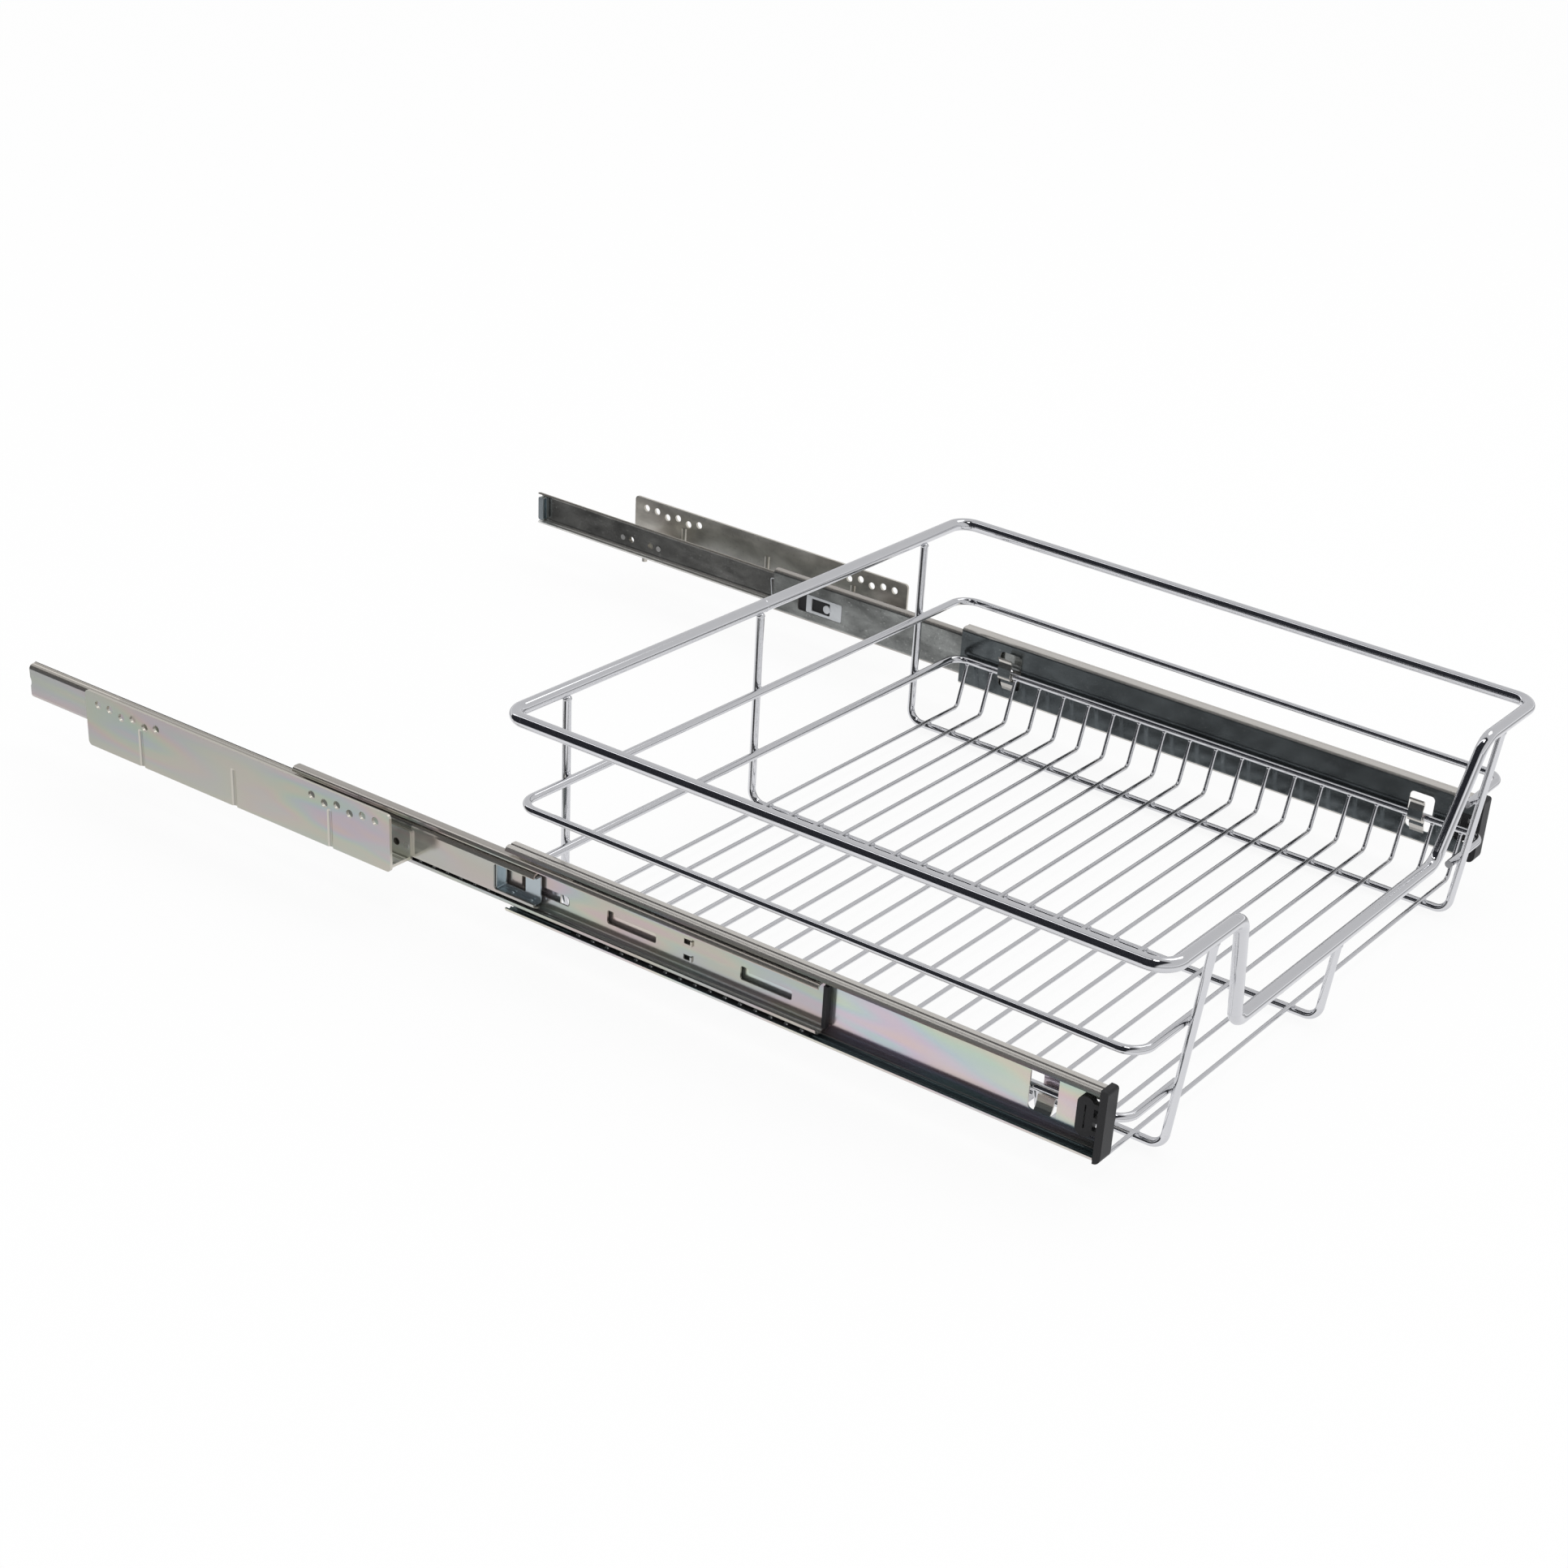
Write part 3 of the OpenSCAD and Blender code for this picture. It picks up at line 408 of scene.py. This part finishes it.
def paint_shadow_behind_bracket(sheet, front, rear):
    # painted shadow: the back of the rail is darkened where the bracket covers it
    n, link = sheet.node_tree.nodes, sheet.node_tree.links
    spot = n.new("ShaderNodeNewGeometry")
    split = n.new("ShaderNodeSeparateXYZ")
    link.new(spot.outputs["Position"], split.inputs[0])
    covered = n.new("ShaderNodeMath")
    covered.operation = "COMPARE"
    covered.inputs[1].default_value = (front + rear) / 2
    covered.inputs[2].default_value = (rear - front) / 2
    link.new(split.outputs["Y"], covered.inputs[0])
    # only faces turned to the panel: their normal's x and their place's x have the same sign
    facing = n.new("ShaderNodeSeparateXYZ")
    link.new(spot.outputs["Normal"], facing.inputs[0])
    outward = n.new("ShaderNodeMath")
    outward.operation = "MULTIPLY"
    link.new(facing.outputs["X"], outward.inputs[0])
    link.new(split.outputs["X"], outward.inputs[1])
    back = n.new("ShaderNodeMapRange")
    back.inputs["From Min"].default_value = 0.1
    back.inputs["From Max"].default_value = 0.2
    back.inputs["To Max"].default_value = BRACKET_SHADOW_SHARE
    link.new(outward.outputs[0], back.inputs["Value"])
    share = n.new("ShaderNodeMath")
    share.operation = "MULTIPLY"
    link.new(covered.outputs[0], share.inputs[0])
    link.new(back.outputs["Result"], share.inputs[1])
    shadow_mix = n.new("ShaderNodeMix")
    shadow_mix.data_type = "RGBA"
    link.new(share.outputs[0], shadow_mix.inputs[0])
    link.new(n["coat"].outputs["Colour"], shadow_mix.inputs[6])
    shadow_mix.inputs[7].default_value = BRACKET_SHADOW_TONE
    link.new(shadow_mix.outputs[2], n["Principled BSDF"].inputs["Base Color"])


paint_shadow_behind_bracket(cabinet_zinc, COVER_FRONT_Y, COVER_REAR_Y)
for side in SIDES:
    dress(f"{side}_cabinet_rail", cabinet_zinc)

# The front and rear stops are small boxes pressed from steel sheet and pushed into the ends of the cabinet
# rail. They are plated in blue zinc, which is colder than the rails' plate.
blue_zinc = zinc_steel("blue_zinc", bright=(0.56, 0.63, 0.66), shaded=(0.52, 0.58, 0.61),
                       channel=(0.46, 0.53, 0.56), film=0.03, wear=0.4, satin=0.24)
for side in SIDES:
    dress(f"{side}_front_stop", blue_zinc)
    dress(f"{side}_rear_stop", blue_zinc)

# The ball cages are long strips with pockets, one inside the middle rail and one around it. They are moulded
# in black plastic with a fine satin grain, as the bumpers, latch blocks and end caps are.
GRAIN_SCALE = 1400
GRAIN_RELIEF = 0.35
GRAIN_DEPTH = 0.00006
BLACK_LOW = (0.012, 0.012, 0.013, 1)
BLACK_HIGH = (0.03, 0.03, 0.032, 1)
PLASTIC_SHINE = 0.25


def moulded_black(name, roughness):
    plastic = bpy.data.materials.new(name)
    plastic.use_nodes = True
    n, link = plastic.node_tree.nodes, plastic.node_tree.links
    body = n["Principled BSDF"]
    body.inputs["Specular IOR Level"].default_value = PLASTIC_SHINE
    place = n.new("ShaderNodeTexCoord")
    grain = n.new("ShaderNodeTexNoise")
    grain.inputs["Scale"].default_value = GRAIN_SCALE
    grain.inputs["Detail"].default_value = 3
    link.new(place.outputs["Object"], grain.inputs["Vector"])
    tone = n.new("ShaderNodeValToRGB")
    tone.color_ramp.elements[0].color = BLACK_LOW
    tone.color_ramp.elements[1].color = BLACK_HIGH
    link.new(grain.outputs["Fac"], tone.inputs[0])
    link.new(tone.outputs[0], body.inputs["Base Color"])
    sheen = n.new("ShaderNodeMapRange")
    sheen.inputs["To Min"].default_value = roughness - 0.08
    sheen.inputs["To Max"].default_value = roughness + 0.1
    link.new(grain.outputs["Fac"], sheen.inputs["Value"])
    link.new(sheen.outputs["Result"], body.inputs["Roughness"])
    relief = n.new("ShaderNodeBump")
    relief.inputs["Strength"].default_value = GRAIN_RELIEF
    relief.inputs["Distance"].default_value = GRAIN_DEPTH
    link.new(grain.outputs["Fac"], relief.inputs["Height"])
    link.new(relief.outputs[0], body.inputs["Normal"])
    return plastic


cage_plastic = moulded_black("cage_plastic", 0.42)
for side in SIDES:
    dress(f"{side}_inner_cage", cage_plastic)
    dress(f"{side}_outer_cage", cage_plastic)

# The balls are hardened and ground bearing steel. They sit in the pockets of the cages, in two rows each, and
# carry a dark painted shade in their colour because the rails close round them.
ball_steel = zinc_steel("ball_steel", bright=(0.2, 0.2, 0.21), shaded=(0.2, 0.2, 0.21), film=0, wear=0.1,
                        satin=0.12)
for side in SIDES:
    dress(f"{side}_inner_balls", ball_steel)
    dress(f"{side}_outer_balls", ball_steel)

# Middle rails run between the other two. They are rolled from zinc-plated strip with stepped slots punched in
# the web, and a black plastic bumper is pushed on their front edge.
middle_zinc = zinc_steel("middle_rail_zinc", bright=(0.53, 0.5, 0.46), shaded=(0.28, 0.29, 0.28),
                         channel=(0.34, 0.35, 0.34), film=0.4, wear=0.8, satin=0.16, metallic=0.86)
bumper_plastic = moulded_black("bumper_plastic", 0.5)
for side in SIDES:
    dress(f"{side}_middle_rail", middle_zinc)
    dress(f"{side}_middle_bumper", bumper_plastic)

# The latch sits at the middle rail's rear end: a black plastic block, a bright steel plate with a round pin,
# and a spring bent from thin wire.
latch_steel = zinc_steel("latch_steel", bright=(0.66, 0.68, 0.7), shaded=(0.6, 0.62, 0.64), film=0.04,
                         wear=0.3, satin=0.24, metallic=0.5)
for side in SIDES:
    dress(f"{side}_latch_block", bumper_plastic)
    dress(f"{side}_latch_plate", latch_steel)
    dress(f"{side}_latch_spring", latch_steel)

# Drawer rails are the largest rails and carry the basket on two hooks. They are rolled from zinc-plated strip,
# and the side towards the panel shows the strongest rainbow clouds.
# the side towards the basket and the lower channel take a very dark painted shade
drawer_zinc = zinc_steel("drawer_rail_zinc", bright=(0.76, 0.73, 0.68), shaded=(0.12, 0.135, 0.14),
                         channel=(0.08, 0.11, 0.12), film=0.6, wear=0.4, satin=0.17, metallic=0.86)
for side in SIDES:
    dress(f"{side}_drawer_rail", drawer_zinc)

# End caps close the front ends of the drawer rails. They are moulded in black plastic and clipped into a
# notch in the rail's web.
cap_plastic = moulded_black("cap_plastic", 0.4)
for side in SIDES:
    dress(f"{side}_end_cap", cap_plastic)

# The rim is a closed loop of thick steel wire with a low dip in the front. Like the rest of the basket it is
# chrome-plated after welding, which leaves a faint haze on the mirror finish.
HAZE_SCALE = 90


def chrome_plate(name, tone, roughness):
    plate = bpy.data.materials.new(name)
    plate.use_nodes = True
    n, link = plate.node_tree.nodes, plate.node_tree.links
    metal = n["Principled BSDF"]
    metal.inputs["Metallic"].default_value = 1
    place = n.new("ShaderNodeTexCoord")
    haze = n.new("ShaderNodeTexNoise")
    haze.inputs["Scale"].default_value = HAZE_SCALE
    haze.inputs["Detail"].default_value = 4
    link.new(place.outputs["Object"], haze.inputs["Vector"])
    colour = n.new("ShaderNodeMix")
    colour.data_type = "RGBA"
    link.new(haze.outputs["Fac"], colour.inputs[0])
    colour.inputs[6].default_value = (tone * 0.95, tone * 0.96, tone * 0.99, 1)
    colour.inputs[7].default_value = (tone, tone, tone * 1.01, 1)
    link.new(colour.outputs[2], metal.inputs["Base Color"])
    rough = n.new("ShaderNodeMapRange")
    rough.inputs["To Min"].default_value = roughness * 0.7
    rough.inputs["To Max"].default_value = roughness * 1.4
    link.new(haze.outputs["Fac"], rough.inputs["Value"])
    link.new(rough.outputs["Result"], metal.inputs["Roughness"])
    return plate


rim_chrome = chrome_plate("rim_chrome", 0.82, 0.085)
dress("top_rim", rim_chrome)

# The middle and the lower ring are thinner chromed wire, open at the front. They go round inside the uprights
# and end just past the outer front wires.
ring_chrome = chrome_plate("ring_chrome", 0.82, 0.09)
for ring in ("middle_ring", "lower_ring"):
    dress(ring, ring_chrome)

# Three frames of the same wire carry the floor. Each is one wire, bent to run down the rear, along under the
# floor and up the front, and is welded to the rim at both ends.
frame_chrome = chrome_plate("frame_chrome", 0.82, 0.09)
for bar in ("left_frame", "centre_frame", "right_frame"):
    dress(bar, frame_chrome)

# The floor is twenty thin chromed wires. They lie across the three frames and turn up at both ends, where
# they are welded under the lower ring.
FLOOR_WIRES = 20
floor_chrome = chrome_plate("floor_chrome", 0.8, 0.11)
for k in range(1, FLOOR_WIRES + 1):
    dress(f"floor_wire_{k}", floor_chrome)

# The wires are spot-welded where they cross, which leaves a small chromed bead at each joint. Each bead is a
# squashed ball, and all of them are one mesh. The beads under the rim are the largest.
RING_Z, MIDDLE_Z, RIM_Z, DIP_Z = 0.04135, 0.08755, 0.14525, 0.06235
FRAME_X, WIRE_Y, WIRE_STEP = 0.19525, 0.00545, 0.02166
REAR_BEAD_Y, REAR_RIM_Y = 0.0198, 0.0225
FRONT_RING_Y, FRONT_MIDDLE_Y, FRONT_RIM_Y, FRONT_DIP_Y = -0.4245, -0.429, -0.437, -0.4292
FLOOR_BEAD_Z = 0.00555
WIRE_END_X = 0.2424
UNDER_RIM = 0.0048
UNDER_RING = 0.0024
REAR_BEAD = (0.0022, 0.001, 0.0026)
RIM_BEAD = (0.0031, 0.0031, 0.0022)
FLOOR_BEAD = (0.0021, 0.0017, 0.0008)
FRONT_BEAD = (0.0026, 0.0011, 0.0022)
WIRE_END_BEAD = (0.0018, 0.002, 0.0015)


def weld_beads():
    shape = bmesh.new()

    def bead(place, size):
        set_at = Matrix.Translation(place) @ Matrix.Diagonal((*size, 1))
        bmesh.ops.create_uvsphere(shape, u_segments=12, v_segments=8, radius=1, matrix=set_at)

    for x in (-FRAME_X, 0, FRAME_X):
        for z in (RING_Z, MIDDLE_Z):
            bead((x, REAR_BEAD_Y, z), REAR_BEAD)
        bead((x, REAR_RIM_Y, RIM_Z - UNDER_RIM), RIM_BEAD)
        for wire in range(FLOOR_WIRES):
            bead((x, WIRE_Y - wire * WIRE_STEP, FLOOR_BEAD_Z), FLOOR_BEAD)
    for x in (-FRAME_X, FRAME_X):
        bead((x, FRONT_RING_Y, RING_Z), FRONT_BEAD)
        bead((x, FRONT_MIDDLE_Y, MIDDLE_Z), FRONT_BEAD)
        bead((x, FRONT_RIM_Y, RIM_Z - UNDER_RIM), RIM_BEAD)
    bead((0, FRONT_DIP_Y, DIP_Z - UNDER_RIM), RIM_BEAD)
    for wire in range(FLOOR_WIRES):
        for end in (-1, 1):
            bead((end * WIRE_END_X, WIRE_Y - wire * WIRE_STEP, RING_Z - UNDER_RING), WIRE_END_BEAD)
    mesh = bpy.data.meshes.new("weld_beads")
    shape.to_mesh(mesh)
    shape.free()
    for face in mesh.polygons:
        face.use_smooth = True
    mesh.materials.append(ring_chrome)
    beads = bpy.data.objects.new("weld_beads", mesh)
    bpy.context.scene.collection.objects.link(beads)
    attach(beads, "basket")


weld_beads()

# A butt weld in the rear run closes the rim's loop. It is ground round and plated over, so it shows only as a
# low ring on the wire, a little beside the basket's middle.
SEAM_X, SEAM_Y = 0.0065, 0.02485
SEAM_PROFILE = ((-0.0012, 0.0043), (-0.0007, 0.0046), (0, 0.0047), (0.0007, 0.0046), (0.0012, 0.0043))
SEAM_SIDES = 32


def rim_seam():
    shape = bmesh.new()
    rows = []
    for along, radius in SEAM_PROFILE:
        row = []
        for k in range(SEAM_SIDES):
            turn = 2 * math.pi * k / SEAM_SIDES
            y, z = SEAM_Y + radius * math.cos(turn), RIM_Z + radius * math.sin(turn)
            row.append(shape.verts.new((SEAM_X + along, y, z)))
        rows.append(row)
    for a, b in zip(rows, rows[1:]):
        for k in range(SEAM_SIDES):
            after = (k + 1) % SEAM_SIDES
            shape.faces.new((a[k], a[after], b[after], b[k])).smooth = True
    mesh = bpy.data.meshes.new("rim_seam")
    shape.to_mesh(mesh)
    shape.free()
    mesh.materials.append(rim_chrome)
    seam = bpy.data.objects.new("rim_seam", mesh)
    bpy.context.scene.collection.objects.link(seam)
    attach(seam, "basket")


rim_seam()
